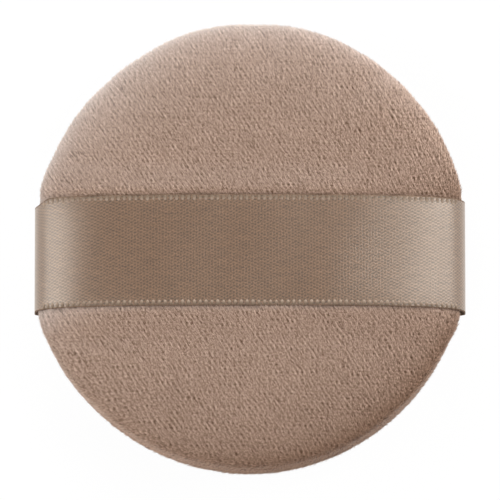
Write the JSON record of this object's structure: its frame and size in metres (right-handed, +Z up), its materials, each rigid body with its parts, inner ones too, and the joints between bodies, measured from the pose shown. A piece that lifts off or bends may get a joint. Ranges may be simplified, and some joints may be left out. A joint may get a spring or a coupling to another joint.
{
  "type": "powder puff",
  "caption": "Round padded velour powder puff with a satin ribbon strap sewn into its rim and arching over the back as a finger loop.",
  "frame": {"origin": "centre of the surface that the puff lies on, under the middle of its box", "axes": "+Z up through the puff towards the ribbon, +X along the ribbon, +Y across the ribbon"},
  "size_m": [0.0774, 0.0796, 0.0248],
  "materials": {
    "face_velour": "short velour pile, taupe",
    "back_velour": "short velour pile, taupe",
    "satin": "satin weave with a beaded selvedge, taupe",
    "foam": "open-cell foam, cream",
    "wadding": "loose fibre wadding, white",
    "thread": "twisted sewing thread, taupe"
  },
  "bodies": {
    "puff": {"face_cover": "face_velour", "back_cover": "back_velour", "foam_core": "foam", "face_wadding": "wadding", "back_wadding": "wadding", "rim_seam_thread": "thread", "closing_thread": "thread"},
    "strap": {"ribbon_strap": "satin"}
  },
  "joints": [
    {"name": "strap_lift", "type": "slide", "parent": "puff", "child": "strap", "axis": [0, 0, 1], "range_m": [0, 0.006], "stiffness_N_per_m": 30, "deforming": ["ribbon_strap"]}
  ]
}
